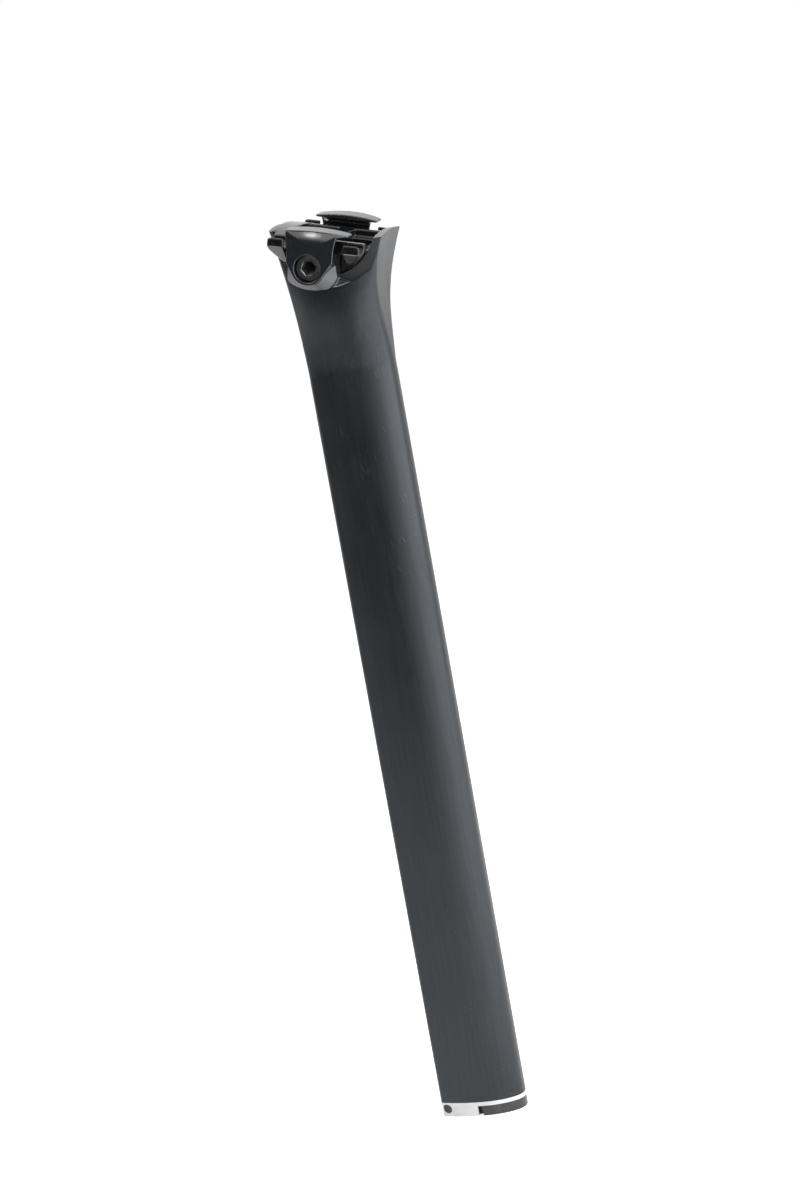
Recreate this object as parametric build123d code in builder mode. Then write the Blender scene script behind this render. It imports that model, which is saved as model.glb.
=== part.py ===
from build123d import *
import math
import os

# An aero bicycle seatpost with a side-bolt saddle clamp, in millimetres.
# +Z runs up the tube, +X points forward and +Y to the bicycle's left.
# The origin is on the tube's axis, at the lower end of the tube.

# Tube section: a flat cut-off tail, gently curved sides and a round nose
tail_reach = 17.7
tail_half = 6.1
tail_corner = 2.2
side_half = 9.75
widest_x = 1.4
nose_reach = 15.8
nose_flat_half = 0.6
tube_wall = 2.3
bore_length = 292.0

# Saddle tilt: the axis of the trough, and the rails' angle to the tube
tilt_x = 0.8
tilt_z = 353.0
rail_angle = 14.5

# Head: it flares out of the tube up to two rims
front_rim = 344.2
rear_rim = 351.8
flare_run = 52.2
front_run = 30.2
rear_run = 37.8
rim_crown = 1.6
front_flare = 6.9
rear_flare = 3.6
head_half = 15.9
head_front_half = 14.0
head_tail_half = 12.0
head_stations = 9

# Trough and the flat lands beside it
trough_r = 20.6
land_half = 14.2
land_r = 25.0
trough_gap = 0.3
land_gap = 0.3

# Saddle rails
rail_r = 3.5
rail_fit = 0.1
rail_half_gauge = 22.0
rail_drop = 6.6

# Cradle
cradle_drop = 5.6
ear_front = 18.4
ear_rear = 17.6
ear_round = 1.2
ear_wall = 1.0
ear_band = 3.3
slope_foot = 18.5
bar_shelf = 0.6
bar_wall = 2.4
cradle_side_gap = 0.3
pocket_wall = 1.9
shelf_drop = 3.0
floor_wall = 3.2
web_shift = 2.6
web_half = 2.9
tail_wall = 5.2
tail_crown = 1.4
boss_wall = 2.2
ear_gap = 2.5

# Jaws: side outline, plate, outer wall and boss
jaw_front = 9.3
jaw_rear = 10.8
jaw_waist = 1.0
waist_drop = 11.0
jaw_side_gap = 0.3
jaw_face_gap = 0.3
toe_reach = 13.8
toe_drop = 19.3
heel_reach = 10.5
skirt_gap = 0.3
toe_wall = 2.0
plate_wall = 1.5
plate_drop = 14.0
jaw_wall = 1.0
wall_drop = 9.0
hollow_drop = 12.5
hollow_depth = 2.0
shield_half = 12.5
shield_drop = 8.0
shield_draft = 14.0
boss_r = 6.4
bell_r = 10.7
bell_run = 4.3

# Jaws: lip over the rail, and the nose that flares up to it
lip_shift = 1.0
lip_half = 12.3
lip_bulge = 2.5
lip_end = 0.2
lip_cover = 0.8
lip_crown = 1.1
lip_round = 3.0
lip_inner_round = 0.8
lip_rim = 0.4
nose_shift = -0.4
nose_drop = 9.0

# Bolt, washer and nut
bolt_shift = -1.2
bolt_cover = 4.6
bolt_drop = trough_r - bolt_cover
bolt_r = 3.0
bolt_hole_gap = 0.3
bolt_head_r = 5.0
bolt_head_height = 6.0
bolt_head_bevel = 0.7
bolt_seat_gap = 0.25
bolt_tail = 1.5
socket_flats = 5.0
socket_depth = 3.2
washer_r = 5.1
washer_thick = 1.0
washer_gap = 0.05
nut_flats = 10.0
nut_height = 5.0
nut_thread_gap = 0.08
nut_seat_gap = 0.15
nut_sink = 1.2

# End plug, and the dark band set into it
plug_flange = 1.6
plug_height = 5.7
plug_inset = 0.1
plug_wall = 0.9
plug_hole_r = 1.9
plug_hole_back = 2.6
plug_hole_drop = 2.6
spigot_height = 14.0
spigot_wall = 1.8
spigot_fit = 0.15
band_height = 4.0
band_rear_x = 0.2
band_slot = 2.1
band_slot_depth = 2.6
band_gap = 0.05
lug_sink = 0.5

big = 80.0

flare_start = front_rim - flare_run
# The rear wall has flared out by its rim, or by the tilt axis where the rim is higher
rear_out = min(rear_rim, tilt_z)
rail_tilt = math.radians(rail_angle)
rail_way = (math.cos(rail_tilt), 0, -math.sin(rail_tilt))
tilt_point = (tilt_x, 0, tilt_z)

# Side view of the clamp: x along the rails, y up from the tilt axis, z to the right-hand side
side_view = Plane(origin=tilt_point, x_dir=rail_way, z_dir=(0, -1, 0))
# Cross section of the clamp: x to the left-hand side, y up from the tilt axis, z along the rails
cross_view = Plane(origin=tilt_point, x_dir=(0, 1, 0), z_dir=rail_way)


def share(height, start, end):
    """How far a height is from start to end, as a share that is never negative."""
    return max(0.0, (height - start) / (end - start))


def eased(height, start, end):
    """The same share, held at 1 and eased at both ends."""
    part = min(1.0, share(height, start, end))
    return part * part * (3 - 2 * part)


def section(height, inset=0.0):
    """The post's outline at a height, drawn in by an inset, as a face on its own plane."""
    front_x = nose_reach + front_flare * share(height, front_rim - front_run, front_rim) ** 2 - inset
    tail_x = inset - tail_reach - rear_flare * share(height, rear_out - rear_run, rear_out) ** 2
    half = side_half + (head_half - side_half) * eased(height, flare_start, tilt_z - land_r) - inset
    growth = eased(height, flare_start, front_rim)
    front_half = nose_flat_half + (head_front_half - nose_flat_half) * growth
    back_half = tail_half + (head_tail_half - tail_half) * growth - inset
    with BuildSketch(Plane.XY.offset(height)) as outline:
        with BuildLine():
            side = TangentArc((widest_x, half), (tail_x, back_half), tangent=(-1, 0))
            nose = EllipticalCenterArc(
                (widest_x, front_half), front_x - widest_x, half - front_half, 0, arc_size=90
            )
            mirror([side, nose], about=Plane.XZ)
            Line((tail_x, back_half), (tail_x, -back_half))
            Line((front_x, front_half), (front_x, -front_half))
        make_face()
        fillet(outline.vertices().group_by(Axis.X)[0], tail_corner)
    return outline.sketch


os.makedirs("parts", exist_ok=True)

# Post: tube, flared head, trough, lands and rims
with BuildPart() as post:
    extrude(section(0), amount=flare_start)
    head_top = rear_rim + 2 * rim_crown
    station_step = (head_top - flare_start) / (head_stations - 1)
    loft([section(flare_start + station_step * station) for station in range(head_stations)])
    extrude(section(0, tube_wall), amount=bore_length, mode=Mode.SUBTRACT)
    for rim, way in ((front_rim, 1), (rear_rim, -1)):
        with BuildSketch(Plane(tilt_point, x_dir=(0, 1, 0), z_dir=(1, 0, 0))):
            with BuildLine():
                rim_level = rim - tilt_z
                crown = ThreePointArc(
                    (-head_half, rim_level), (0, rim_level + rim_crown), (head_half, rim_level)
                )
                Polyline(crown @ 1, (big, rim_level), (big, big), (-big, big), (-big, rim_level), crown @ 0)
            make_face()
        extrude(amount=way * big, mode=Mode.SUBTRACT)
    with BuildSketch(side_view):
        Circle(trough_r)
        Rectangle(2 * trough_r, big, align=(Align.CENTER, Align.MIN))
    extrude(amount=big, both=True, mode=Mode.SUBTRACT)
    for way in (1, -1):
        with BuildSketch(side_view.offset(way * land_half)):
            Circle(land_r)
        extrude(amount=way * big, mode=Mode.SUBTRACT)
post.part.label = "post"
export_step(post.part, "parts/post.step")

# Levels shared by the cradle, the jaws and the bolt, from the tilt axis
cradle_top = -cradle_drop
rail_level = -rail_drop
bolt_place = (bolt_shift, -bolt_drop)
cradle_r = trough_r - trough_gap
groove_r = rail_r + rail_fit
bolt_hole_r = bolt_r + bolt_hole_gap
jaw_seat = rail_half_gauge - groove_r - jaw_face_gap
bar_face = jaw_seat - jaw_face_gap
bar_low = rail_level - groove_r - bar_shelf
ear_face = rail_half_gauge + groove_r + ear_wall
cradle_half = land_half - cradle_side_gap
pocket_half = cradle_half - pocket_wall
shelf_half = bar_face - bar_wall
ear_length = ear_front + ear_rear
pocket_length = jaw_front + ear_gap + jaw_rear + jaw_side_gap
pocket_rear = -jaw_rear - jaw_side_gap
wall_out = rail_half_gauge + groove_r + jaw_wall
boss_out = wall_out - hollow_depth
head_seat = boss_out - bolt_head_height - washer_thick

# Tail of the cradle: a crowned wall that closes the rear of the trough
with BuildPart() as cradle_tail:
    with BuildSketch(side_view):
        Circle(cradle_r)
        with Locations((tail_wall - ear_rear, -slope_foot)):
            Rectangle(big, big, align=(Align.MAX, Align.MIN), mode=Mode.INTERSECT)
    extrude(amount=cradle_half, both=True)
    with BuildSketch(cross_view):
        with BuildLine():
            crown = ThreePointArc(
                (-jaw_seat, cradle_top), (0, cradle_top + tail_crown), (jaw_seat, cradle_top)
            )
            Polyline(crown @ 1, (jaw_seat, -cradle_r), (-jaw_seat, -cradle_r), crown @ 0)
        make_face()
    extrude(amount=big, both=True, mode=Mode.INTERSECT)

# Cradle: a round-bottomed bridge with a rail bar along each side
with BuildPart() as cradle:
    with BuildSketch(side_view) as bridge:
        Circle(cradle_r)
        with Locations((-ear_rear, cradle_top)):
            Rectangle(ear_length, 2 * cradle_r, align=(Align.MIN, Align.MAX), mode=Mode.INTERSECT)
        fillet(bridge.vertices().group_by(Axis.Y)[-1], ear_round)
    extrude(amount=ear_face, both=True)
    with BuildSketch(cross_view):
        with BuildLine():
            flank = Polyline(
                (0, cradle_top),
                (ear_face, cradle_top),
                (ear_face, cradle_top - ear_band),
                (cradle_half, -slope_foot),
                (cradle_half, -cradle_r),
                (0, -cradle_r),
            )
            mirror(flank, about=Plane.YZ)
        make_face()
    extrude(amount=big, both=True, mode=Mode.INTERSECT)
    for half, floor in ((pocket_half, -cradle_r), (shelf_half, cradle_top - shelf_drop)):
        with BuildSketch(side_view):
            Circle(cradle_r - floor_wall)
            with Locations((0, cradle_top - shelf_drop)):
                Rectangle(big, big, align=(Align.MIN, Align.MIN))
            with Locations((tail_wall - ear_rear, floor)):
                Rectangle(big, big, align=(Align.MIN, Align.MIN), mode=Mode.INTERSECT)
            with Locations((web_shift, 0)):
                Rectangle(2 * web_half, 2 * cradle_r, mode=Mode.SUBTRACT)
            with Locations(bolt_place):
                Circle(bolt_hole_r + boss_wall, mode=Mode.SUBTRACT)
        extrude(amount=half, both=True, mode=Mode.SUBTRACT)
    with BuildSketch(cross_view.offset(-ear_rear)):
        with BuildLine():
            crown = ThreePointArc(
                (-jaw_seat, cradle_top), (0, cradle_top + tail_crown), (jaw_seat, cradle_top)
            )
            Line(crown @ 0, crown @ 1)
        make_face()
    extrude(amount=tail_wall)
    add(cradle_tail.part)
    with BuildSketch(cross_view):
        with Locations((-rail_half_gauge, rail_level), (rail_half_gauge, rail_level)):
            Circle(groove_r)
            Rectangle(2 * groove_r, 2 * groove_r, align=(Align.CENTER, Align.MIN))
    extrude(amount=big, both=True, mode=Mode.SUBTRACT)
    for way in (1, -1):
        with BuildSketch(side_view.offset(way * bar_face)):
            with Locations((pocket_rear, 0)):
                Rectangle(pocket_length, big, align=(Align.MIN, Align.CENTER))
        extrude(amount=way * big, mode=Mode.SUBTRACT)
        with BuildSketch(side_view.offset(way * cradle_half)):
            with Locations((pocket_rear, bar_low)):
                Rectangle(pocket_length, big, align=(Align.MIN, Align.MAX))
        extrude(amount=way * big, mode=Mode.SUBTRACT)
    with BuildSketch(side_view):
        with Locations(bolt_place):
            Circle(bolt_hole_r)
    extrude(amount=big, both=True, mode=Mode.SUBTRACT)
    with BuildSketch(side_view.offset(head_seat - washer_gap)):
        with Locations(bolt_place):
            Circle(washer_r + washer_gap)
    extrude(amount=big, mode=Mode.SUBTRACT)
cradle.part.label = "cradle"
export_step(cradle.part, "parts/cradle.step")

# Nose of a jaw, drawn on the right-hand side: it flares from the outer wall up to the edge of the lip
land_face = land_half + land_gap
plate_out = jaw_seat + plate_wall
lip_out = wall_out - lip_end + lip_bulge
lip_low = rail_level + groove_r
lip_rear = lip_shift - lip_half
lip_front = lip_shift + lip_half
lip_top = lip_low + lip_cover + lip_crown
lip_r = (lip_half ** 2 + lip_bulge ** 2) / (2 * lip_bulge)
lip_plane = Plane(tilt_point, x_dir=rail_way, z_dir=side_view.y_dir)
nose_view = cross_view.offset(nose_shift)
nose_middle = lip_r - lip_out
nose_axis = Axis(nose_view.from_local_coords((nose_middle, 0, 0)), nose_view.y_dir)
with BuildPart() as jaw_nose:
    with BuildSketch(nose_view):
        with BuildLine():
            flare = TangentArc((-wall_out, -nose_drop), (-lip_out, lip_top - lip_rim), tangent=(0, 1))
            Polyline(
                flare @ 1,
                (-lip_out, lip_top),
                (nose_middle, lip_top),
                (nose_middle, -nose_drop),
                flare @ 0,
            )
        make_face()
    revolve(axis=nose_axis)
    with BuildSketch(cross_view):
        with Locations((-jaw_seat, 0)):
            Rectangle(big, 2 * big, align=(Align.MAX, Align.CENTER))
    extrude(amount=big, both=True, mode=Mode.INTERSECT)

# Lip of a jaw: a lens in plan with a crowned top
with BuildPart() as jaw_lip:
    with BuildSketch(lip_plane) as lip_plan:
        with BuildLine():
            lip_edge = ThreePointArc(
                (lip_rear, lip_end - wall_out), (lip_shift, -lip_out), (lip_front, lip_end - wall_out)
            )
            Polyline(lip_edge @ 1, (lip_front, -jaw_seat), (lip_rear, -jaw_seat), lip_edge @ 0)
        make_face()
        fillet(lip_plan.vertices().group_by(Axis.Y)[-1], lip_inner_round)
        fillet(lip_plan.vertices().group_by(Axis.Y)[0], lip_round)
    extrude(amount=-big)
    with BuildSketch(side_view):
        with BuildLine():
            end_level = lip_low + lip_cover
            lip_arc = ThreePointArc(
                (lip_rear, end_level), (lip_shift, end_level + lip_crown), (lip_front, end_level)
            )
            Polyline(lip_arc @ 1, (lip_front, lip_low), (lip_rear, lip_low), lip_arc @ 0)
        make_face()
    extrude(amount=big, mode=Mode.INTERSECT)
    add(jaw_nose.part, mode=Mode.INTERSECT)

# Side outline of a jaw, from the lip down to a skirt round the post's land
skirt_r = land_r - skirt_gap
toe_low = -math.sqrt(skirt_r ** 2 - toe_reach ** 2)
heel_low = -math.sqrt(skirt_r ** 2 - heel_reach ** 2)
seat_low = bar_low - jaw_face_gap
with BuildSketch(side_view) as jaw_outline:
    with BuildLine():
        front_edge = ThreePointArc(
            (jaw_front, lip_low), (jaw_front - jaw_waist, -waist_drop), (jaw_front, -toe_drop)
        )
        rear_edge = ThreePointArc(
            (-jaw_rear, lip_low), (jaw_waist - jaw_rear, -waist_drop), (-heel_reach, heel_low)
        )
        Line(front_edge @ 0, rear_edge @ 0)
        Line(front_edge @ 1, (toe_reach, toe_low))
        ThreePointArc((toe_reach, toe_low), (0, -skirt_r), rear_edge @ 1)
    make_face()

# Brow of a jaw: the nose below the lip, within the side outline
with BuildPart() as jaw_brow:
    add(jaw_nose.part)
    extrude(jaw_outline.sketch, amount=big, mode=Mode.INTERSECT)

# Shield of a jaw: the wall outside the rail, drawn in to a boss round the bolt
with BuildPart() as jaw_shield:
    with BuildSketch(side_view.offset(boss_out)) as taper_plan:
        with Locations(bolt_place):
            Circle(boss_r)
        with Locations((bolt_shift, -shield_drop)):
            Rectangle(2 * shield_half, big, align=(Align.CENTER, Align.MIN))
        make_hull()
    extrude(taper_plan.sketch, amount=jaw_seat - boss_out, taper=-shield_draft)
    extrude(taper_plan.sketch, amount=wall_out - boss_out)
    extrude(jaw_outline.sketch, amount=wall_out, mode=Mode.INTERSECT)
    with BuildSketch(cross_view):
        with BuildLine():
            hollow = TangentArc((-boss_out, -hollow_drop), (-wall_out, -wall_drop), tangent=(0, 1))
            Polyline(
                hollow @ 1,
                (-wall_out, lip_low),
                (-jaw_seat, lip_low),
                (-jaw_seat, -skirt_r),
                (-boss_out, -skirt_r),
                hollow @ 0,
            )
        make_face()
    extrude(amount=big, both=True, mode=Mode.INTERSECT)

# Bell of a jaw: the boss widens round the bolt down to the post's land
bolt_view = Plane(side_view.from_local_coords((bolt_shift, -bolt_drop, 0)), rail_way, side_view.y_dir)
with BuildPart() as jaw_bell:
    with BuildSketch(bolt_view):
        with BuildLine():
            Polyline(
                (0, -land_face),
                (bell_r, -land_face),
                (bell_r, bell_run - boss_out),
                (boss_r, -boss_out),
                (0, -boss_out),
                close=True,
            )
        make_face()
    revolve(axis=Axis(bolt_view.origin, bolt_view.y_dir))
    extrude(jaw_outline.sketch, amount=big, mode=Mode.INTERSECT)
    with BuildSketch(side_view):
        with Locations((0, seat_low)):
            Rectangle(big, big, align=(Align.CENTER, Align.MAX))
    extrude(amount=big, mode=Mode.INTERSECT)

# Blank of a jaw: plate, bell, shield, lip and nose, with the rail groove and the bolt hole
with BuildPart() as jaw_blank:
    extrude(jaw_outline.sketch, amount=wall_out)
    with BuildSketch(cross_view):
        with BuildLine():
            Polyline(
                (-plate_out, lip_low),
                (-plate_out, -plate_drop),
                (-land_face - toe_wall, -skirt_r),
                (-land_face, -skirt_r),
                (-land_face, seat_low),
                (-jaw_seat, seat_low),
                (-jaw_seat, lip_low),
                close=True,
            )
        make_face()
    extrude(amount=big, both=True, mode=Mode.INTERSECT)
    add(jaw_shield.part)
    add(jaw_bell.part)
    add(jaw_lip.part)
    add(jaw_brow.part)
    with BuildSketch(cross_view):
        with Locations((-rail_half_gauge, rail_level)):
            Circle(groove_r)
            Rectangle(2 * groove_r, 2 * groove_r, align=(Align.MIN, Align.CENTER))
    extrude(amount=big, both=True, mode=Mode.SUBTRACT)
    with BuildSketch(side_view):
        with Locations(bolt_place):
            Circle(bolt_hole_r)
    extrude(amount=big, mode=Mode.SUBTRACT)

# Right-hand jaw: the bolt's head and washer sit in a round counterbore
with BuildPart() as right_jaw:
    add(jaw_blank.part)
    with BuildSketch(side_view.offset(head_seat)):
        with Locations(bolt_place):
            Circle(bolt_head_r + bolt_seat_gap)
    extrude(amount=big, mode=Mode.SUBTRACT)
right_jaw.part.label = "right_jaw"
export_step(right_jaw.part, "parts/right_jaw.step")

# Left-hand jaw: the nut sits in a hexagonal pocket
nut_outer = boss_out - nut_sink
nut_seat = nut_outer - nut_height
with BuildPart() as left_jaw:
    mirror(jaw_blank.part, about=Plane.XZ)
    with BuildSketch(side_view.offset(-nut_seat)):
        with Locations(bolt_place):
            RegularPolygon(nut_flats / 2 + nut_seat_gap, 6, major_radius=False)
    extrude(amount=-big, mode=Mode.SUBTRACT)
left_jaw.part.label = "left_jaw"
export_step(left_jaw.part, "parts/left_jaw.step")

# Bolt with a bevelled socket head
with BuildPart() as clamp_bolt:
    with BuildSketch(side_view.offset(head_seat + washer_thick)):
        with Locations(bolt_place):
            Circle(bolt_head_r)
    extrude(amount=bolt_head_height)
    chamfer(clamp_bolt.edges().sort_by(Axis.Y)[0], bolt_head_bevel)
    with BuildSketch(side_view.offset(head_seat + washer_thick)):
        with Locations(bolt_place):
            Circle(bolt_r)
    extrude(amount=-(head_seat + washer_thick + nut_outer + bolt_tail))
    with BuildSketch(side_view.offset(boss_out)):
        with Locations(bolt_place):
            RegularPolygon(socket_flats / 2, 6, major_radius=False)
    extrude(amount=-socket_depth, mode=Mode.SUBTRACT)
clamp_bolt.part.label = "clamp_bolt"
export_step(clamp_bolt.part, "parts/clamp_bolt.step")

# Washer under the bolt's head
with BuildPart() as bolt_washer:
    with BuildSketch(side_view.offset(head_seat)):
        with Locations(bolt_place):
            Circle(washer_r)
            Circle(bolt_hole_r, mode=Mode.SUBTRACT)
    extrude(amount=washer_thick)
bolt_washer.part.label = "bolt_washer"
export_step(bolt_washer.part, "parts/bolt_washer.step")

# Hexagon nut in the left-hand jaw
with BuildPart() as clamp_nut:
    with BuildSketch(side_view.offset(-nut_seat)):
        with Locations(bolt_place):
            RegularPolygon(nut_flats / 2, 6, major_radius=False)
            Circle(bolt_r + nut_thread_gap, mode=Mode.SUBTRACT)
    extrude(amount=-nut_height)
clamp_nut.part.label = "clamp_nut"
export_step(clamp_nut.part, "parts/clamp_nut.step")

# End plug: a flange, a hollow spigot inside the tube and a thin wall round the rear
plug_hole = (plug_inset + plug_hole_back - tail_reach, -plug_hole_drop)
wall_end = band_rear_x - band_slot
shell_inset = plug_inset + plug_wall
spigot_inset = tube_wall + spigot_fit
with BuildPart() as end_plug:
    extrude(section(-plug_flange), amount=plug_flange)
    extrude(section(0, spigot_inset), amount=spigot_height)
    extrude(section(0, spigot_inset + spigot_wall), amount=spigot_height, mode=Mode.SUBTRACT)
    with BuildSketch(Plane.XY.offset(-plug_flange)):
        with Locations((wall_end, 0)):
            Rectangle(big, big, align=(Align.MAX, Align.CENTER))
        add(section(-plug_flange, plug_inset), mode=Mode.INTERSECT)
        add(section(-plug_flange, shell_inset), mode=Mode.SUBTRACT)
    extrude(amount=plug_flange - plug_height)
    with BuildSketch(Plane.XZ):
        with Locations(plug_hole):
            Circle(plug_hole_r)
    extrude(amount=big, both=True, mode=Mode.SUBTRACT)
end_plug.part.label = "end_plug"
export_step(end_plug.part, "parts/end_plug.step")

# Lugs of the band: they snap into the holes in the plug's wall
with BuildPart() as band_lugs:
    extrude(section(-plug_height, plug_inset + lug_sink), amount=plug_height)
    with BuildSketch(Plane.XZ):
        with Locations(plug_hole):
            Circle(plug_hole_r - band_gap)
    extrude(amount=big, both=True, mode=Mode.INTERSECT)

# Band: a dark insert that fills the plug's rear wall and comes out to a band round the front
band_top = -plug_flange - band_gap
with BuildPart() as end_band:
    extrude(section(band_top, plug_inset + band_slot_depth), amount=-band_height)
    fill_inset = shell_inset + band_gap
    for end, side, inset in ((band_rear_x, Align.MIN, plug_inset), (wall_end, Align.MAX, fill_inset)):
        with BuildSketch(Plane.XY.offset(band_top)):
            with Locations((end, 0)):
                Rectangle(big, big, align=(side, Align.CENTER))
            add(section(band_top, inset), mode=Mode.INTERSECT)
        extrude(amount=-band_height)
    add(band_lugs.part)
end_band.part.label = "end_band"
export_step(end_band.part, "parts/end_band.step")
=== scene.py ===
"""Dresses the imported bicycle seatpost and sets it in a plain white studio."""

from __future__ import annotations

import logging
import math
from dataclasses import dataclass, field
from enum import Enum
from typing import Callable, Sequence

import bpy
import bmesh
from mathutils import Matrix, Vector

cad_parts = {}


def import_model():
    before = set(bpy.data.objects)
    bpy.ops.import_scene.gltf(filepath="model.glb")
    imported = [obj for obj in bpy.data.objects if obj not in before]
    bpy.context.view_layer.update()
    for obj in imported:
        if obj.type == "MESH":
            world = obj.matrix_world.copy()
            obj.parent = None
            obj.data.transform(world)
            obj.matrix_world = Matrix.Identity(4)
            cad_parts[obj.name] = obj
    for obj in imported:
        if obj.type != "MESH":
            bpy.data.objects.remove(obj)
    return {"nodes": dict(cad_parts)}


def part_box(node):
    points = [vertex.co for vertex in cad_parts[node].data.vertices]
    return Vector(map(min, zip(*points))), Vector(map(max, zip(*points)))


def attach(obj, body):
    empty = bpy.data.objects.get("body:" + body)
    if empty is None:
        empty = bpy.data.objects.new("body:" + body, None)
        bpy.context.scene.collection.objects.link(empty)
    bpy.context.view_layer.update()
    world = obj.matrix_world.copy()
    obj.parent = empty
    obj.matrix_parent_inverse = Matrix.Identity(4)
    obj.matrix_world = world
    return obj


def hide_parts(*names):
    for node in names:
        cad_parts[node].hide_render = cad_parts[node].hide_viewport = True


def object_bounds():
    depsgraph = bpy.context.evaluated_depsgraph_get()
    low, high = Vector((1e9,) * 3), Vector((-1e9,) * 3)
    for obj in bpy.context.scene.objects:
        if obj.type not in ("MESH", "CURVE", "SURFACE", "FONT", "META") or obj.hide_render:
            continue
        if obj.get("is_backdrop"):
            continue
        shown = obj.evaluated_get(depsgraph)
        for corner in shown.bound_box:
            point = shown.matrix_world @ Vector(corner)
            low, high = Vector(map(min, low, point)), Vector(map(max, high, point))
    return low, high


LOG = logging.getLogger("seatpost")

Colour = tuple[float, float, float, float]
Point = tuple[float, float, float]
Span = tuple[float, float]
Reach = Callable[[float], float]
Nodes = dict[str, bpy.types.Object]
Socket = bpy.types.NodeSocket

# One millimetre in metres, and the rails' slope against the tube's cross plane.
MM = 0.001
RAIL_TILT = math.radians(14.5)

# Points closer than this, in millimetres, are one point.
WELD_REACH = 0.001
BEVEL_SEGMENTS = 3
SMOOTH_SHARE = 0.5
CREASE = math.radians(32.0)

# The colour sockets of Blender's Mix node, which share their names with others.
MIX_FIRST, MIX_SECOND, MIX_RESULT = 6, 7, 2

# The scale at which a spot's edge wobbles, and the shares of its radius between which it fades.
SPOT_WOBBLE = 900.0
SPOT_OUTER, SPOT_INNER = 1.6, 0.9


class Grain(Enum):
    """How a pattern is stretched, as scale factors along X, Y and Z."""

    EVEN = (1.0, 1.0, 1.0)
    STRAND = (1.0, 1.0, 0.03)
    RIPPLE = (1.0, 1.0, 0.22)
    SCRATCH = (1.0, 0.3, 0.07)


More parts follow.
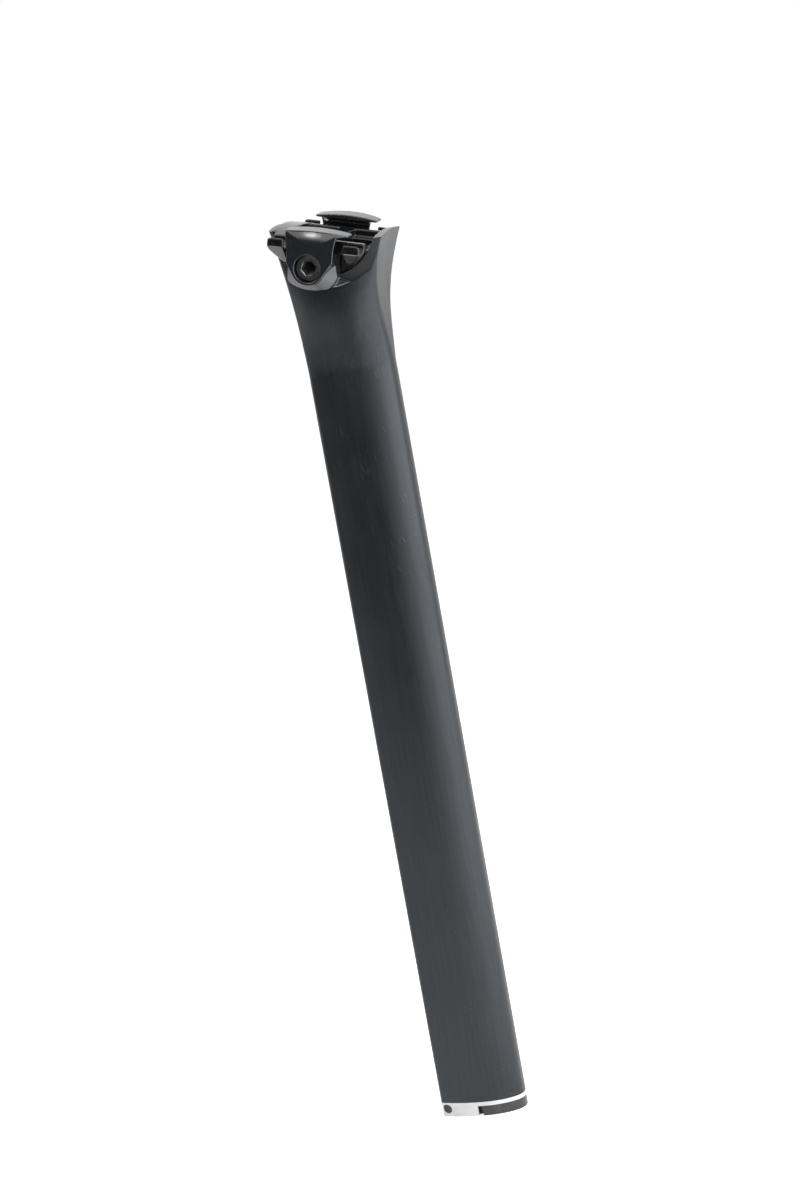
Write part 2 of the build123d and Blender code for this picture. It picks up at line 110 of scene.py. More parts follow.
class Shading:
    """A small builder round one material's node tree."""

    def __init__(self, name: str) -> None:
        """Makes a material with one shader.

        Args:
            name: The material's name.
        """
        self.material = bpy.data.materials.new(name)
        self.material.use_nodes = True
        self.tree = self.material.node_tree
        self.inputs = self.tree.nodes["Principled BSDF"].inputs

    def add(self, kind: str, **values: object) -> bpy.types.Node:
        """Adds a node.

        Args:
            kind: The node's Blender type.
            values: Properties of the node to set.

        Returns:
            The new node.
        """
        node = self.tree.nodes.new(kind)
        for key, value in values.items():
            setattr(node, key, value)
        return node

    def link(self, source: Socket, target: Socket) -> None:
        """Joins two sockets."""
        self.tree.links.new(source, target)

    def place(self, grain: Grain = Grain.EVEN, lean_deg: float = 0.0) -> Socket:
        """Gives the surface's place in the object's own frame.

        Args:
            grain: How the place is stretched.
            lean_deg: How far the stretch leans from the tube's axis, about Y.

        Returns:
            The place.
        """
        source = self.add("ShaderNodeTexCoord")
        lean = self.add("ShaderNodeVectorRotate", rotation_type="Y_AXIS")
        lean.inputs["Angle"].default_value = math.radians(lean_deg)
        stretch = self.add("ShaderNodeMapping")
        stretch.inputs["Scale"].default_value = grain.value
        self.link(source.outputs["Object"], lean.inputs["Vector"])
        self.link(lean.outputs["Vector"], stretch.inputs["Vector"])
        return stretch.outputs["Vector"]

    def split(self, vector: Socket) -> bpy.types.NodeOutputs:
        """Splits a vector into its X, Y and Z.

        Args:
            vector: The vector.

        Returns:
            The three values, by those names.
        """
        node = self.add("ShaderNodeSeparateXYZ")
        self.link(vector, node.inputs["Vector"])
        return node.outputs

    def noise(self, place: Socket, scale: float, detail: float = 3.0) -> Socket:
        """Adds a noise.

        Args:
            place: Where the noise is read.
            scale: Features per metre, before any stretch.
            detail: Octaves of the noise.

        Returns:
            The noise's value.
        """
        pattern = self.add("ShaderNodeTexNoise")
        pattern.inputs["Scale"].default_value = scale
        pattern.inputs["Detail"].default_value = detail
        self.link(place, pattern.inputs["Vector"])
        return pattern.outputs["Fac"]

    def span(
        self, value: Socket, start: float, end: float, low: float = 0.0, high: float = 1.0
    ) -> Socket:
        """Maps one span of a value to another, held at its ends.

        Args:
            value: The value.
            start: The value that gives low.
            end: The value that gives high.
            low: The result at start.
            high: The result at end.

        Returns:
            The mapped value.
        """
        node = self.add("ShaderNodeMapRange")
        node.inputs["From Min"].default_value = start
        node.inputs["From Max"].default_value = end
        node.inputs["To Min"].default_value = low
        node.inputs["To Max"].default_value = high
        self.link(value, node.inputs["Value"])
        return node.outputs["Result"]

    def maths(self, operation: str, first: Socket, second: Socket | float = 0.0) -> Socket:
        """Joins two values by arithmetic.

        Args:
            operation: Blender's name for it.
            first: The first value.
            second: The second value, or a number, where the operation takes two.

        Returns:
            The result.
        """
        node = self.add("ShaderNodeMath", operation=operation)
        self.link(first, node.inputs[0])
        if isinstance(second, bpy.types.NodeSocket):
            self.link(second, node.inputs[1])
        else:
            node.inputs[1].default_value = second
        return node.outputs["Value"]

    def blend(self, share: Socket, first: Socket | Colour, second: Socket | Colour) -> Socket:
        """Mixes two colours.

        Args:
            share: How much of the second shows.
            first: The first colour.
            second: The second colour.

        Returns:
            The mixed colour.
        """
        node = self.add("ShaderNodeMix", data_type="RGBA")
        self.link(share, node.inputs["Factor"])
        for colour, index in ((first, MIX_FIRST), (second, MIX_SECOND)):
            if isinstance(colour, bpy.types.NodeSocket):
                self.link(colour, node.inputs[index])
            else:
                node.inputs[index].default_value = colour
        return node.outputs[MIX_RESULT]

    def spot(self, at: Point, radius: float) -> Socket:
        """Marks a round spot on the surface.

        Args:
            at: The spot's middle, in millimetres.
            radius: Its radius, in millimetres.

        Returns:
            1 inside the spot, falling softly to 0 at its edge.
        """
        place = self.add("ShaderNodeTexCoord").outputs["Object"]
        away = self.add("ShaderNodeVectorMath", operation="DISTANCE")
        away.inputs[1].default_value = Vector(at) * MM
        self.link(place, away.inputs[0])
        wobble = self.maths("MULTIPLY", self.noise(place, SPOT_WOBBLE), radius * MM)
        edge = self.maths("ADD", away.outputs["Value"], wobble)
        return self.span(edge, radius * MM * SPOT_OUTER, radius * MM * SPOT_INNER)

    def bump(self, height: Socket, depth: float) -> None:
        """Roughens the surface by a height, on top of any earlier one.

        Args:
            height: The height's value.
            depth: The height of 1, in millimetres.
        """
        node = self.add("ShaderNodeBump")
        node.inputs["Strength"].default_value = 1.0
        node.inputs["Distance"].default_value = depth * MM
        self.link(height, node.inputs["Height"])
        normal = self.inputs["Normal"]
        if normal.is_linked:
            self.link(normal.links[0].from_socket, node.inputs["Normal"])
        self.link(node.outputs["Normal"], normal)


def grey(level: float, blue: float = 0.0) -> Colour:
    """A linear grey, drawn towards blue by a share."""
    return (level * (1 - blue), level * (1 - blue / 3), level * (1 + blue), 1.0)


@dataclass(frozen=True)
class Finish:
    """A finish with mottled colour and gloss, a fine grain, and paler edges painted as highlight
    and wear.

    Args:
        name: The material's name.
        dark: The colour of the darker patches.
        pale: The colour of the paler patches.
        highlight_and_wear: The colour of the paler convex edges, painted as a highlight and as
            wear.
        highlight_and_wear_share: How strongly that paler colour is painted on the edges.
        smooth: The roughness of the glossier patches.
        rough: The roughness of the duller patches.
        metallic: The shader's metallic value.
        mottle: Patches per metre.
        grit: Grains per metre.
        grit_depth: The grain's height, in millimetres.
        grit_detail: Octaves of the grain.
        sheen: The shader's specular level.
        patch_cut: The noise of the darkest and of the palest patches.
        edge_cut: The pointiness at which the painted edge highlight and wear start and are full.
        edge_noise_fineness: How many times finer than the patches the noise that breaks up the
            edges is.
    """

    name: str
    dark: Colour
    pale: Colour
    highlight_and_wear: Colour
    highlight_and_wear_share: float
    smooth: float
    rough: float
    metallic: float = 0.0
    mottle: float = 400.0
    grit: float = 3500.0
    grit_depth: float = 0.01
    grit_detail: float = 2.0
    sheen: float = 0.5
    patch_cut: Span = (0.3, 0.7)
    edge_cut: Span = (0.53, 0.62)
    edge_noise_fineness: float = 2.0

    def build(self) -> bpy.types.Material:
        """Makes the material.

        Returns:
            The material.
        """
        shading = Shading(self.name)
        shading.inputs["Metallic"].default_value = self.metallic
        shading.inputs["Specular IOR Level"].default_value = self.sheen
        place = shading.place()
        patches = shading.span(shading.noise(place, self.mottle), *self.patch_cut)
        # Convex edges are painted paler, partly as wear and partly as a painted highlight,
        # broken up by a finer noise.
        pointiness = shading.add("ShaderNodeNewGeometry").outputs["Pointiness"]
        edges = shading.span(pointiness, *self.edge_cut, 0.0, self.highlight_and_wear_share)
        edge_noise = shading.noise(place, self.mottle * self.edge_noise_fineness)
        highlight_and_wear_mask = shading.maths("MULTIPLY", edges, edge_noise)
        mottled = shading.blend(patches, self.dark, self.pale)
        colour = shading.blend(highlight_and_wear_mask, mottled, self.highlight_and_wear)
        shading.link(colour, shading.inputs["Base Color"])
        gloss = shading.span(patches, 0.0, 1.0, self.smooth, self.rough)
        shading.link(gloss, shading.inputs["Roughness"])
        shading.bump(shading.noise(place, self.grit, self.grit_detail), self.grit_depth)
        return shading.material


@dataclass(frozen=True)
class Laminate:
    """Satin carbon laminate with strands, ripples, scratches, specks and chips, and painted
    reflections on the head.

    Lengths are in millimetres. Scales are in features per metre, before any stretch. A cut is
    the pair of values at which a mark starts and is full.

    Args:
        name: The material's name.
        dark: The colour between the strands.
        pale: The colour of the strands.
        scratch: The colour of scratches and specks.
        chip: The colour of a chip.
        painted_land_reflection: The paler colour painted on the flat lands on the head's sides,
            a painted reflection.
        painted_rim_reflection: The paler colour painted on the head's upward faces, a painted
            reflection.
        sheen: The tint of the reflections.
        smooth: The roughness of the glossier clouds.
        rough: The roughness of the duller clouds.
        strand_scale: The strands' scale.
        strand_depth: The strands' height.
        cloud_scale: The scale of the glossier and duller clouds.
        detail: Octaves of the strands and the clouds.
        middle_cut: The cut of the strands and the clouds.
        ripple_scale: The ripples' scale.
        ripple_lean_deg: How far the ripples lean from the tube's axis.
        ripple_depth: The ripples' height.
        chips: The middle and radius of each chip.
        chip_depth: The chips' depth.
        scratched: The lowest and highest place of the scratches.
        scratch_fade: How far to either side of these places the scratches fade.
        scratch_sets: The lean in degrees and the scale of each set of scratches.
        scratch_detail: Octaves of the scratches.
        scratch_cut: The scratches' cut.
        patch_scale: The scale of the scratched patches.
        patch_cut: Their cut.
        speck_scale: The specks' scale.
        speck_cut: Their cut.
        land_half: How far the lands stand from the middle.
        land_margin: The cut of the lands' edge, past land_half.
        land_low: The height above which the lands and the rim lie.
        land_fade: How far above land_low they are full.
        side_cut: The cut of a face that looks sideways.
        top_cut: The cut of a face that looks up.
        reflection_noise_scale: The scale of the unevenness in the painted reflections on the
            lands and the rim.
        reflection_noise_cut: Its cut.
        reflection_noise_least: The least share of the painted colour that it leaves.
    """

    name: str
    dark: Colour
    pale: Colour
    scratch: Colour
    chip: Colour
    painted_land_reflection: Colour
    painted_rim_reflection: Colour
    sheen: Colour
    smooth: float
    rough: float
    strand_scale: float = 1500.0
    strand_depth: float = 0.006
    cloud_scale: float = 42.0
    detail: float = 4.0
    middle_cut: Span = (0.35, 0.65)
    ripple_scale: float = 330.0
    ripple_lean_deg: float = 6.0
    ripple_depth: float = 0.05
    chips: tuple[tuple[Point, float], ...] = ()
    chip_depth: float = 0.15
    scratched: Span = (215.0, 300.0)
    scratch_fade: float = 10.0
    scratch_sets: tuple[Span, ...] = ((24.0, 1500.0), (12.0, 1900.0))
    scratch_detail: float = 1.0
    scratch_cut: Span = (0.735, 0.76)
    patch_scale: float = 40.0
    patch_cut: Span = (0.4, 0.55)
    speck_scale: float = 1900.0
    speck_cut: Span = (0.85, 0.865)
    land_half: float = 14.2
    land_margin: Span = (0.3, 0.1)
    land_low: float = 315.0
    land_fade: float = 1.0
    side_cut: Span = (0.98, 0.995)
    top_cut: Span = (0.9, 0.96)
    reflection_noise_scale: float = 160.0
    reflection_noise_cut: Span = (0.3, 0.7)
    reflection_noise_least: float = 0.75

    def build(self) -> bpy.types.Material:
        """Makes the material.

        Returns:
            The material.
        """
        shading = Shading(self.name)
        shading.inputs["Specular Tint"].default_value = self.sheen
        strands = shading.noise(shading.place(Grain.STRAND), self.strand_scale, self.detail)
        colour = shading.blend(shading.span(strands, *self.middle_cut), self.dark, self.pale)
        colour = shading.blend(self.scratches(shading), colour, self.scratch)
        for at, radius in self.chips:
            chip = shading.spot(at, radius)
            colour = shading.blend(chip, colour, self.chip)
            shading.bump(shading.span(chip, 0.0, 1.0, 1.0, 0.0), self.chip_depth)
        # The lands and the rim are painted paler, as a painted reflection.
        painted_land_reflection, painted_rim_reflection = self.painted_reflections(shading)
        colour = shading.blend(painted_land_reflection, colour, self.painted_land_reflection)
        colour = shading.blend(painted_rim_reflection, colour, self.painted_rim_reflection)
        shading.link(colour, shading.inputs["Base Color"])
        clouds = shading.noise(shading.place(), self.cloud_scale, self.detail)
        gloss = shading.span(clouds, *self.middle_cut, self.smooth, self.rough)
        shading.link(gloss, shading.inputs["Roughness"])
        rippled = shading.place(Grain.RIPPLE, self.ripple_lean_deg)
        shading.bump(shading.noise(rippled, self.ripple_scale), self.ripple_depth)
        shading.bump(strands, self.strand_depth)
        return shading.material

    def painted_reflections(self, shading: Shading) -> tuple[Socket, Socket]:
        """Marks where a reflection is painted: the flat lands on the head's sides and its upward
        faces, with a faint unevenness.

        Args:
            shading: The material's builder.

        Returns:
            Two masks for the painted reflection, near 1 on a land and on the rim, else 0.
        """
        place = shading.split(shading.place())
        facing = shading.split(shading.add("ShaderNodeNewGeometry").outputs["True Normal"])
        start, full = ((self.land_half + margin) * MM for margin in self.land_margin)
        inner = shading.span(shading.maths("ABSOLUTE", place["Y"]), start, full)
        flat = shading.span(shading.maths("ABSOLUTE", facing["Y"]), *self.side_cut)
        low = self.land_low
        high = shading.span(place["Z"], low * MM, (low + self.land_fade) * MM)
        uneven = shading.noise(shading.place(), self.reflection_noise_scale)
        reflection_unevenness = shading.span(uneven, *self.reflection_noise_cut, self.reflection_noise_least, 1.0)
        highlight_and_wear = shading.maths("MULTIPLY", high, reflection_unevenness)
        painted_land_reflection = shading.maths("MULTIPLY", shading.maths("MULTIPLY", inner, flat), highlight_and_wear)
        top = shading.span(facing["Z"], *self.top_cut)
        return painted_land_reflection, shading.maths("MULTIPLY", top, highlight_and_wear)

    def scratches(self, shading: Shading) -> Socket:
        """Draws patches of short thin leaning scratches, and tiny specks all over.

        Args:
            shading: The material's builder.

        Returns:
            1 on a scratch or a speck, else 0.
        """
        height = shading.split(shading.place())["Z"]
        (low, high), fade = self.scratched, self.scratch_fade
        above = shading.span(height, (low - fade) * MM, (low + fade) * MM)
        below = shading.span(height, (high + fade) * MM, (high - fade) * MM)
        patches = shading.span(shading.noise(shading.place(), self.patch_scale), *self.patch_cut)
        patches = shading.maths("MULTIPLY", patches, shading.maths("MULTIPLY", above, below))
        specks = shading.noise(shading.place(), self.speck_scale, 0.0)
        marks = shading.span(specks, *self.speck_cut)
        for lean_deg, scale in self.scratch_sets:
            leaning = shading.place(Grain.SCRATCH, lean_deg)
            lines = shading.noise(leaning, scale, self.scratch_detail)
            mask = shading.maths("MULTIPLY", shading.span(lines, *self.scratch_cut), patches)
            marks = shading.maths("MAXIMUM", marks, mask)
        return marks


CARBON = Laminate(
    name="satin_carbon",
    dark=grey(0.010, 0.10),
    pale=grey(0.016, 0.10),
    scratch=grey(0.06),
    chip=grey(0.004),
    # The paler land and rim colours are a painted reflection on the head.
    painted_land_reflection=grey(0.05),
    painted_rim_reflection=grey(0.16),
    sheen=(0.86, 0.93, 1.0, 1.0),
    smooth=0.34,
    rough=0.42,
    chips=(((11.9, -6.8, 2.4), 0.8), ((14.5, -4.4, 6.6), 0.6), ((14.9, -3.8, 4.6), 0.4)),
)
# Each finish below paints its convex edges paler, as a painted highlight and as wear.
GLOSS_BLACK = Finish(
    name="gloss_black_alloy",
    dark=grey(0.006, 0.05),
    pale=grey(0.010, 0.05),
    highlight_and_wear=grey(0.05),
    highlight_and_wear_share=0.5,
    smooth=0.11,
    rough=0.17,
    mottle=350.0,
    grit=4500.0,
    grit_depth=0.0012,
)
FORGED = Finish(
    name="forged_black_alloy",
    dark=grey(0.010, 0.18),
    pale=grey(0.018, 0.18),
    highlight_and_wear=grey(0.06),
    highlight_and_wear_share=0.5,
    smooth=0.17,
    rough=0.24,
    mottle=2200.0,
    grit=2400.0,
    grit_depth=0.018,
    sheen=1.0,
)
DULL_STEEL = Finish(
    name="dull_steel",
    dark=grey(0.17),
    pale=grey(0.22),
    highlight_and_wear=grey(0.50),
    highlight_and_wear_share=0.5,
    smooth=0.30,
    rough=0.38,
    metallic=1.0,
    mottle=900.0,
    grit=4000.0,
    grit_depth=0.003,
)
# The socket's near-black finish is painted shade in the hollow.
PAINTED_SOCKET_SHADE = Finish(
    name="painted_socket_shade",
    dark=grey(0.006),
    pale=grey(0.012),
    highlight_and_wear=grey(0.03),
    highlight_and_wear_share=0.4,
    smooth=0.16,
    rough=0.26,
    mottle=900.0,
    grit=4000.0,
    grit_depth=0.003,
)
WHITE_PLASTIC = Finish(
    name="white_plastic",
    dark=grey(0.76),
    pale=grey(0.82),
    highlight_and_wear=grey(0.88),
    highlight_and_wear_share=0.3,
    smooth=0.36,
    rough=0.44,
    mottle=300.0,
    grit_depth=0.004,
)
DARK_PLASTIC = Finish(
    name="dark_plastic",
    dark=grey(0.030, 0.04),
    pale=grey(0.042, 0.04),
    highlight_and_wear=grey(0.09),
    highlight_and_wear_share=0.6,
    smooth=0.34,
    rough=0.42,
    mottle=500.0,
    grit_depth=0.006,
)


def add_object(name: str, data: bpy.types.ID) -> bpy.types.Object:
    """Puts a mesh, a light or a camera into the scene.

    Args:
        name: The new object's name.
        data: What it holds.

    Returns:
        The new object.
    """
    holder = bpy.data.objects.new(name, data)
    bpy.context.scene.collection.objects.link(holder)
    return holder


def dress(piece: bpy.types.Object, material: bpy.types.Material) -> None:
    """Gives every slot of an object one material.

    Args:
        piece: The object.
        material: The material.
    """
    if not piece.material_slots:
        piece.data.materials.append(material)
    for slot in piece.material_slots:
        slot.material = material


def round_edges(node: bpy.types.Object, width: float, angle_deg: float = 30.0) -> None:
    """Rounds a node's sharp edges by modifiers, so that its own mesh stays as it is.

    Args:
        node: The node's object.
        width: The rounding's width, in millimetres.
        angle_deg: The least angle of an edge that is rounded.
    """
    weld = node.modifiers.new("weld", "WELD")
    weld.merge_threshold = WELD_REACH * MM
    bevel = node.modifiers.new("round", "BEVEL")
    bevel.width = width * MM
    bevel.segments = BEVEL_SEGMENTS
    bevel.limit_method = "ANGLE"
    bevel.angle_limit = math.radians(angle_deg)
    bevel.use_clamp_overlap = True
    even = node.modifiers.new("even", "WEIGHTED_NORMAL")
    even.keep_sharp = False


def stand_in(piece: bpy.types.Object, node: str, body: str) -> None:
    """Lets a new piece stand for a node and move with its body.

    Args:
        piece: The new piece.
        node: The node that it stands for.
        body: The body that carries it.
    """
    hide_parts(node)
    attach(piece, body)


def rounded_skin(
    node: bpy.types.Object, name: str, voxel: float, passes: int
) -> bpy.types.Object:
    """Makes a finely meshed copy of a node with softly rounded edges.

    The new mesh is laid out along the saddle rails, as the clamp's own edges are. It is worked
    in millimetres.

    Args:
        node: The node's object.
        name: The new piece's name.
        voxel: The size of the new mesh's faces, in millimetres.
        passes: How often the new mesh is smoothed.

    Returns:
        The new piece.
    """
    mesh = node.data.copy()
    mesh.transform(Matrix.Rotation(-RAIL_TILT, 4, "Y") @ Matrix.Scale(1 / MM, 4))
    work = bmesh.new()
    work.from_mesh(mesh)
    bmesh.ops.remove_doubles(work, verts=work.verts, dist=WELD_REACH)
    work.to_mesh(mesh)
    work.free()
    skin = add_object(name, mesh)
    remesh = skin.modifiers.new("remesh", "REMESH")
    remesh.mode = "VOXEL"
    remesh.voxel_size = voxel
    smooth = skin.modifiers.new("smooth", "SMOOTH")
    smooth.factor = SMOOTH_SHARE
    smooth.iterations = passes
    ready = skin.evaluated_get(bpy.context.evaluated_depsgraph_get())
    final = bpy.data.meshes.new_from_object(ready)
    skin.modifiers.clear()
    skin.data = final
    final.transform(Matrix.Rotation(RAIL_TILT, 4, "Y") @ Matrix.Scale(MM, 4))
    final.materials.clear()
    final.shade_smooth()
    return skin


def ring_mesh(
    name: str, rings: Sequence[Sequence[Vector]], ends: tuple[Vector, Vector]
) -> bpy.types.Object:
    """Skins a row of rings into one closed mesh.

    Args:
        name: The new piece's name.
        rings: The rings, each with as many points as the next.
        ends: The middles of the first and the last ring's caps.

    Returns:
        The new piece.
    """
    work = bmesh.new()
    rows = [[work.verts.new(point) for point in ring] for ring in rings]
    count = len(rows[0])
    for row, after in zip(rows, rows[1:]):
        for step in range(count):
            beside = (step + 1) % count
            work.faces.new((row[step], row[beside], after[beside], after[step]))
    for row, middle in ((rows[0], ends[0]), (rows[-1], ends[1])):
        hub = work.verts.new(middle)
        for step in range(count):
            work.faces.new((row[step], row[(step + 1) % count], hub))
    bmesh.ops.recalc_face_normals(work, faces=work.faces)
    mesh = bpy.data.meshes.new(name)
    work.to_mesh(mesh)
    work.free()
    mesh.shade_smooth()
    mesh.set_sharp_from_angle(angle=CREASE)
    return add_object(name, mesh)


@dataclass
class Tube:
    """The hollow post with its flared head.

    Args:
        edge: The rounding of its edges, in millimetres.
        sharp_deg: The least angle of an edge that is rounded.
    """

    edge: float = 0.35
    sharp_deg: float = 40.0

    def build(self, nodes: Nodes) -> None:
        """Rounds the head's edges."""
        round_edges(nodes["post"], self.edge, self.sharp_deg)

    def dress(self, nodes: Nodes) -> None:
        """Gives the post its laminate."""
        dress(nodes["post"], CARBON.build())
        LOG.info("post: rounded and dressed in laminate")


@dataclass
class Cradle:
    """The bridge that carries the saddle rails.

    Args:
        voxel: The size of its skin's faces, in millimetres.
        passes: How often its skin is smoothed.
    """

    voxel: float = 0.3
    passes: int = 16
    skin: bpy.types.Object = field(init=False)

    def build(self, nodes: Nodes) -> None:
        """Makes the cradle's rounded skin."""
        self.skin = rounded_skin(nodes["cradle"], "cradle_skin", self.voxel, self.passes)
        stand_in(self.skin, "cradle", "cradle")

    def dress(self, nodes: Nodes) -> None:
        """Gives the cradle its gloss black."""
        dress(self.skin, GLOSS_BLACK.build())
        LOG.info("cradle: %d faces, gloss black", len(self.skin.data.polygons))


@dataclass
class Jaws:
    """The two jaws that grip the rails.

    Args:
        voxel: The size of their skins' faces, in millimetres.
        passes: How often their skins are smoothed.
    """

    voxel: float = 0.2
    passes: int = 14
    skins: list[bpy.types.Object] = field(init=False, default_factory=list)

    def build(self, nodes: Nodes) -> None:
        """Makes both jaws' rounded skins.

        Args:
            nodes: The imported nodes.
        """
        for side in ("right", "left"):
            jaw = f"{side}_jaw"
            skin = rounded_skin(nodes[jaw], f"{jaw}_skin", self.voxel, self.passes)
            stand_in(skin, jaw, f"{side}_clamp")
            self.skins.append(skin)

    def dress(self, nodes: Nodes) -> None:
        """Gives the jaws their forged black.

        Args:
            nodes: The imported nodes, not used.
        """
        material = FORGED.build()
        for skin in self.skins:
            dress(skin, material)
            LOG.info("%s: %d faces, forged black", skin.name, len(skin.data.polygons))


@dataclass
class Fasteners:
    """The bolt with its thread and socket, its washer and its nut, in millimetres.

    Args:
        head_radius: The radius of the bolt's head.
        head_height: The head's height.
        head_round: The rounding of the head's outer edge.
        shank_radius: The radius of the shank and of the thread's crest.
        core_radius: The radius of the thread's root.
        thread_length: The thread's length.
        pitch: The thread's rise in one turn.
        thread_slope: The steepness of the thread's sides.
        thread_root: How much of the thread's height its flat root takes away.
        socket_flats: The socket's width across its flats.
        socket_depth: The depth of its sides.
        socket_cone: The depth of the cone in its floor.
        socket_bevel: The bevel round its mouth.
        tip_bevel: The length of the bevel at the tip.
        tip_taper: How far the tip's radius is below the root's.
        edge: The rounding of the washer's and the nut's edges.
        spokes: The points of a ring.
        steps_per_turn: The rings of one turn of the thread.
        round_steps: The steps of the head's rounding.
    """

    head_radius: float = 5.0
    head_height: float = 6.0
    head_round: float = 0.8
    shank_radius: float = 2.97
    core_radius: float = 2.5
    thread_length: float = 24.0
    pitch: float = 1.0
    thread_slope: float = 1.3
    thread_root: float = 0.15
    socket_flats: float = 5.0
    socket_depth: float = 3.2
    socket_cone: float = 0.6
    socket_bevel: float = 0.35
    tip_bevel: float = 0.7
    tip_taper: float = 0.2
    edge: float = 0.25
    spokes: int = 48
    steps_per_turn: int = 10
    round_steps: int = 5
    middle: Vector = field(init=False)
    face: float = field(init=False)
    tip: float = field(init=False)
    bolt: bpy.types.Object = field(init=False)

    def build(self, nodes: Nodes) -> None:
        """Makes the bolt and rounds the washer and the nut.

        Args:
            nodes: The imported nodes.
        """
        low, high = (Vector(corner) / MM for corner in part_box("clamp_bolt"))
        self.middle = (low + high) / 2
        self.face = low.y
        self.tip = high.y
        floor = self.face + self.socket_depth + self.socket_cone
        ends = (self.centre(floor), self.centre(self.tip))
        self.bolt = ring_mesh("clamp_bolt_threaded", self.rings(), ends)
        stand_in(self.bolt, "clamp_bolt", "right_clamp")
        for name in ("bolt_washer", "clamp_nut"):
            round_edges(nodes[name], self.edge)

    def centre(self, along: float) -> Vector:
        """A point on the bolt's axis, in metres."""
        return Vector((self.middle.x, along, self.middle.z)) * MM

    def ring(self, along: float, reach: Reach) -> list[Vector]:
        """One ring of points round the axis.

        Args:
            along: The ring's place along the axis.
            reach: The radius at an angle.

        Returns:
            The points, in metres.
        """
        points = []
        for step in range(self.spokes):
            turn = 2 * math.pi * step / self.spokes
            out = Vector((math.cos(turn), 0.0, math.sin(turn))) * reach(turn) * MM
            points.append(self.centre(along) + out)
        return points

    def disc(self, along: float, radius: float) -> list[Vector]:
        """One round ring of points."""
        return self.ring(along, lambda turn: radius)

    def hexagon(self, grow: float = 0.0) -> Reach:
        """The socket's outline as a radius at an angle.

        Args:
            grow: How far the outline stands out from the socket.

        Returns:
            The radius as a function of the angle.
        """
        sixth = math.pi / 3
        flat = self.socket_flats / 2

        def reach(turn: float) -> float:
            """The radius at one angle."""
            return flat / math.cos((turn % sixth) - sixth / 2) + grow

        return reach

    def thread(self, along: float) -> Reach:
        """The thread's radius at an angle, for one place along the axis.

        Args:
            along: The place along the axis.

        Returns:
            The radius as a function of the angle.
        """

        def reach(turn: float) -> float:
            """The radius at one angle.

            Args:
                turn: The angle, in radians.

            Returns:
                The radius.
            """
            phase = (along / self.pitch - turn / (2 * math.pi)) % 1.0
            height = abs(2 * phase - 1) * self.thread_slope - self.thread_root
            share = min(1.0, max(0.0, height))
            return self.core_radius + (self.shank_radius - self.core_radius) * share

        return reach

    def rings(self) -> list[list[Vector]]:
        """Draws the bolt from its socket's floor, over its head and down to its tip.

        Returns:
            The rings, in metres.
        """
        face, bevel = self.face, self.socket_bevel
        rows = [
            self.ring(face + self.socket_depth, self.hexagon()),
            self.ring(face + bevel, self.hexagon()),
            self.ring(face, self.hexagon(bevel)),
        ]
        for step in range(self.round_steps + 1):
            turn = math.pi / 2 * step / self.round_steps
            drop = self.head_round * (1 - math.cos(turn))
            radius = self.head_radius - self.head_round * (1 - math.sin(turn))
            rows.append(self.disc(face + drop, radius))
        seat = face + self.head_height
        start = self.tip - self.thread_length
        end = self.tip - self.tip_bevel
        rows.append(self.disc(seat, self.head_radius))
        rows.append(self.disc(seat, self.shank_radius))
        rows.append(self.disc(start - self.pitch, self.shank_radius))
        steps = math.ceil((end - start) / self.pitch * self.steps_per_turn)
        for step in range(steps + 1):
            along = start + (end - start) * step / steps
            rows.append(self.ring(along, self.thread(along)))
        rows.append(self.disc(self.tip, self.core_radius - self.tip_taper))
        return rows

    def dress(self, nodes: Nodes) -> None:
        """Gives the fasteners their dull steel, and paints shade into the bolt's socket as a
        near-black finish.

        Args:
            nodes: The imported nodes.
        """
        material = DULL_STEEL.build()
        for piece in (self.bolt, nodes["bolt_washer"], nodes["clamp_nut"]):
            dress(piece, material)
            LOG.info("%s: dull steel", piece.name)
        # The faces inside the socket get the near-black finish, painted shade in the hollow.
        materials = self.bolt.data.materials
        materials.append(PAINTED_SOCKET_SHADE.build())
        corner = self.socket_flats / math.sqrt(3)
        floor = self.socket_depth + self.socket_cone
        for face in self.bolt.data.polygons:
            out = (face.center - self.centre(self.face)) / MM
            if math.hypot(out.x, out.z) < corner and self.socket_bevel < out.y < floor:
                face.material_index = len(materials) - 1


@dataclass
class Foot:
    """The white plug in the tube's lower end and the dark band set into it.

    Args:
        edge: The rounding of their edges, in millimetres.
    """

    edge: float = 0.3

    def build(self, nodes: Nodes) -> None:
        """Rounds the edges of both pieces."""
        for name in ("end_plug", "end_band"):
            round_edges(nodes[name], self.edge)

    def dress(self, nodes: Nodes) -> None:
        """Gives the plug and the band their plastics.

        Args:
            nodes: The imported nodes.
        """
        for name, finish in (("end_plug", WHITE_PLASTIC), ("end_band", DARK_PLASTIC)):
            dress(nodes[name], finish.build())
            LOG.info("%s: %s", name, finish.name)


@dataclass(frozen=True)
class Lamp:
    """One soft rectangular lamp, in metres.

    Args:
        name: The lamp's name.
        at: Its place.
        aim: The point it faces.
        size: Its width and height.
        watts: Its power.
        spread_deg: The angle of its beam.
    """

    name: str
    at: Point
    aim: Point
    size: Span
    watts: float
    spread_deg: float = 180.0

    def hang(self) -> None:
        """Hangs the lamp, unseen by the camera."""
        light = bpy.data.lights.new(self.name, "AREA")
        light.shape = "RECTANGLE"
        light.size, light.size_y = self.size
        light.energy = self.watts
        light.spread = math.radians(self.spread_deg)
        holder = add_object(self.name, light)
        holder.location = self.at
        beam = Vector(self.aim) - Vector(self.at)
        holder.rotation_euler = beam.to_track_quat("-Z", "Y").to_euler()
        holder.visible_camera = False


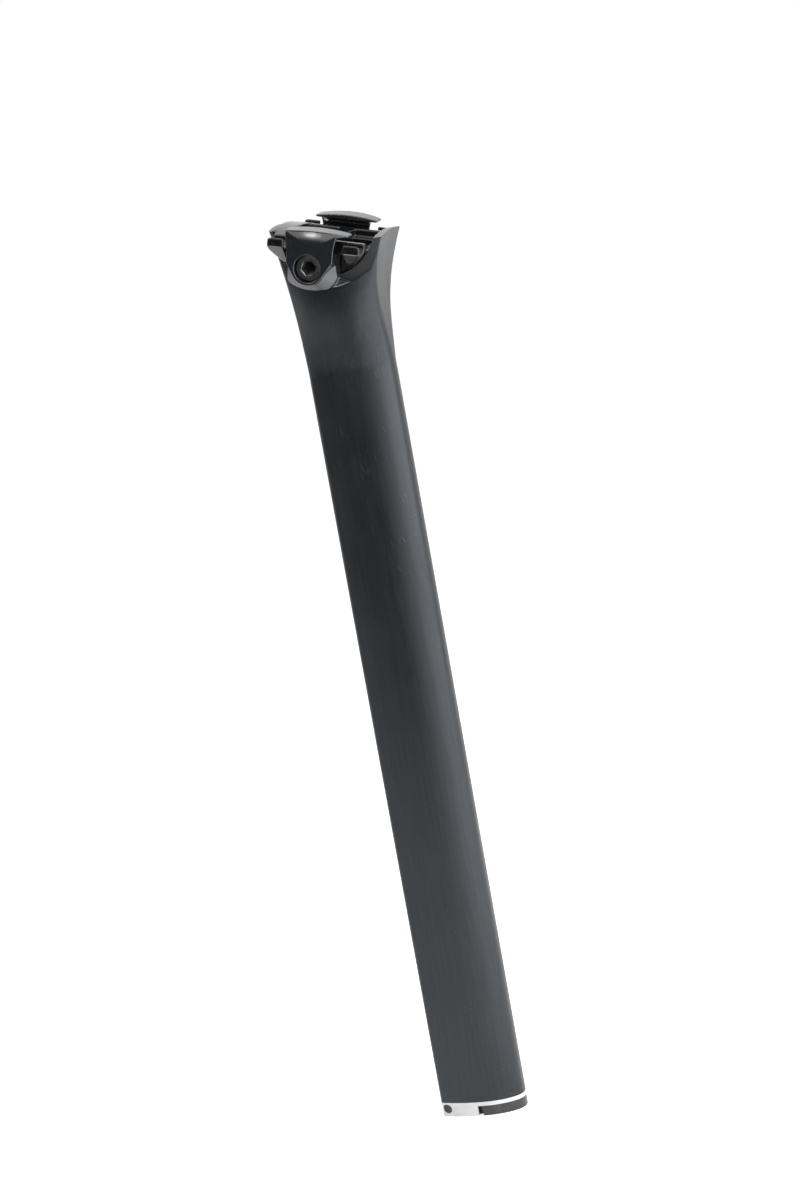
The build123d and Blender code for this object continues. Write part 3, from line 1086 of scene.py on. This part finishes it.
# The low lamp lights the floor before the foot, and the kicker the near jaw's nose.
LAMPS = (
    Lamp("top", (-0.3, 0.2, 1.5), (0.0, 0.0, 0.3), (1.0, 1.0), 5.0),
    Lamp("front", (-0.5, -0.8, 1.4), (0.0, 0.0, 0.2), (0.8, 0.8), 6.0),
    Lamp("side", (0.62, -0.33, 0.5), (0.0, 0.0, 0.3), (0.65, 1.0), 5.5),
    Lamp("strip", (0.55, 0.02, 0.45), (0.0, 0.0, 0.2), (0.18, 0.9), 2.0),
    Lamp("low", (0.26, -0.2, 0.3), (0.26, -0.2, 0.0), (0.25, 0.25), 0.35, 80.0),
    Lamp("kicker", (-0.185, -0.2, 0.08), (-0.003, -0.028, 0.4), (0.17, 0.2), 0.016, 18.0),
)


@dataclass
class Studio:
    """Floor, flag, surround, lamps and camera, in metres.

    Args:
        floor_level: The floor's height.
        floor_half: Half the floor's width.
        floor_shade: The floor's grey.
        floor_glow: How much the floor glows where it is seen.
        surround: How strongly the surround lights the object.
        flag_at: The flag's place along Y.
        flag_sides: Its left and right edge.
        flag_span: Its lower and upper edge.
        flag_shade: Its grey.
        matt: The roughness of the floor and the flag.
        lens_mm: The camera's focal length, in millimetres.
        sensor_mm: The width of its sensor, in millimetres.
        clip: The nearest and farthest that it sees.
        camera_at: Its place.
        azimuth_deg: How far it stands round the object.
        elevation_deg: How far it looks down.
        roll_deg: How far it is rolled.
    """

    floor_level: float
    floor_half: float = 6.0
    floor_shade: float = 0.9
    floor_glow: float = 0.55
    surround: float = 0.5
    flag_at: float = -0.3
    flag_sides: Span = (-0.7, 0.05)
    flag_span: Span = (0.07, 0.42)
    flag_shade: float = 0.01
    matt: float = 0.9
    lens_mm: float = 119.007
    sensor_mm: float = 36.0
    clip: Span = (0.01, 50.0)
    camera_at: Point = (0.42997, -1.45041, 0.48409)
    azimuth_deg: float = 16.486
    elevation_deg: float = 10.541
    roll_deg: float = 10.180

    def build(self) -> None:
        """Builds the whole studio."""
        self.floor()
        self.flag()
        self.world()
        for lamp in LAMPS:
            lamp.hang()
        self.camera()
        LOG.info("studio: floor, flag, surround, %d lamps and camera", len(LAMPS))

    def sheet(
        self, name: str, corners: Sequence[Point], material: bpy.types.Material
    ) -> bpy.types.Object:
        """Adds a flat stage sheet.

        Args:
            name: The sheet's name.
            corners: Its corners, in order.
            material: Its material.

        Returns:
            The sheet.
        """
        mesh = bpy.data.meshes.new(name)
        mesh.from_pydata(corners, [], [tuple(range(len(corners)))])
        mesh.materials.append(material)
        plane = add_object(name, mesh)
        plane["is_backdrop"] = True
        return plane

    def seen(self, tree: bpy.types.NodeTree, low: float, high: float) -> Socket:
        """A strength for what is seen, directly or in a reflection.

        Args:
            tree: The node tree to add to.
            low: The strength for other rays.
            high: The strength for camera, glossy and transmission rays.

        Returns:
            The strength.
        """
        path = tree.nodes.new("ShaderNodeLightPath")
        value = path.outputs["Is Camera Ray"]
        for name in ("Is Glossy Ray", "Is Transmission Ray"):
            either = tree.nodes.new("ShaderNodeMath")
            either.operation = "MAXIMUM"
            tree.links.new(value, either.inputs[0])
            tree.links.new(path.outputs[name], either.inputs[1])
            value = either.outputs["Value"]
        strength = tree.nodes.new("ShaderNodeMapRange")
        strength.inputs["To Min"].default_value = low
        strength.inputs["To Max"].default_value = high
        tree.links.new(value, strength.inputs["Value"])
        return strength.outputs["Result"]

    def floor(self) -> None:
        """Lays the pale floor, which glows a little where it is seen."""
        shading = Shading("pale_floor")
        shading.inputs["Base Color"].default_value = grey(self.floor_shade)
        shading.inputs["Roughness"].default_value = self.matt
        shading.inputs["Specular IOR Level"].default_value = 0.0
        shading.inputs["Emission Color"].default_value = grey(1.0)
        glow = self.seen(shading.tree, 0.0, self.floor_glow)
        shading.link(glow, shading.inputs["Emission Strength"])
        half, z = self.floor_half, self.floor_level
        corners = [(-half, -half, z), (half, -half, z), (half, half, z), (-half, half, z)]
        self.sheet("floor", corners, shading.material)

    def flag(self) -> None:
        """Hangs a black flag left of the camera, which only reflections see."""
        shading = Shading("black_flag")
        shading.inputs["Base Color"].default_value = grey(self.flag_shade)
        shading.inputs["Roughness"].default_value = self.matt
        (left, right), (low, high), y = self.flag_sides, self.flag_span, self.flag_at
        corners = [(left, y, low), (right, y, low), (right, y, high), (left, y, high)]
        card = self.sheet("flag", corners, shading.material)
        card.visible_camera = False

    def world(self) -> None:
        """Sets a white surround, dimmer where it only lights the object."""
        world = bpy.data.worlds.new("studio")
        bpy.context.scene.world = world
        world.use_nodes = True
        tree = world.node_tree
        back = tree.nodes["Background"].inputs
        back["Color"].default_value = grey(1.0)
        tree.links.new(self.seen(tree, self.surround, 1.0), back["Strength"])

    def camera(self) -> None:
        """Places the camera at the photograph's angle."""
        az = math.radians(self.azimuth_deg)
        el = math.radians(self.elevation_deg)
        roll = math.radians(self.roll_deg)
        level = Vector((math.cos(az), math.sin(az), 0.0))
        inward = Vector((-math.sin(az), math.cos(az), 0.0))
        above = Vector((0.0, 0.0, 1.0))
        ahead = inward * math.cos(el) - above * math.sin(el)
        rise = inward * math.sin(el) + above * math.cos(el)
        right = level * math.cos(roll) - rise * math.sin(roll)
        up = level * math.sin(roll) + rise * math.cos(roll)
        data = bpy.data.cameras.new("camera")
        data.lens = self.lens_mm
        data.sensor_width = self.sensor_mm
        data.clip_start, data.clip_end = self.clip
        holder = add_object("camera", data)
        turn = Matrix((right, up, -ahead)).transposed().to_4x4()
        holder.matrix_world = Matrix.Translation(self.camera_at) @ turn
        bpy.context.scene.camera = holder


def main() -> None:
    """Builds every piece in order, then the studio."""
    logging.basicConfig(level=logging.INFO, format="%(name)s: %(message)s")
    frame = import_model()
    cad_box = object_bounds()
    nodes = frame["nodes"]
    bpy.context.scene.view_settings.view_transform = "Standard"
    for part in (Tube(), Cradle(), Jaws(), Fasteners(), Foot()):
        part.build(nodes)
        part.dress(nodes)
    Studio(floor_level=cad_box[0][2]).build()


if __name__ == "__main__":
    main()
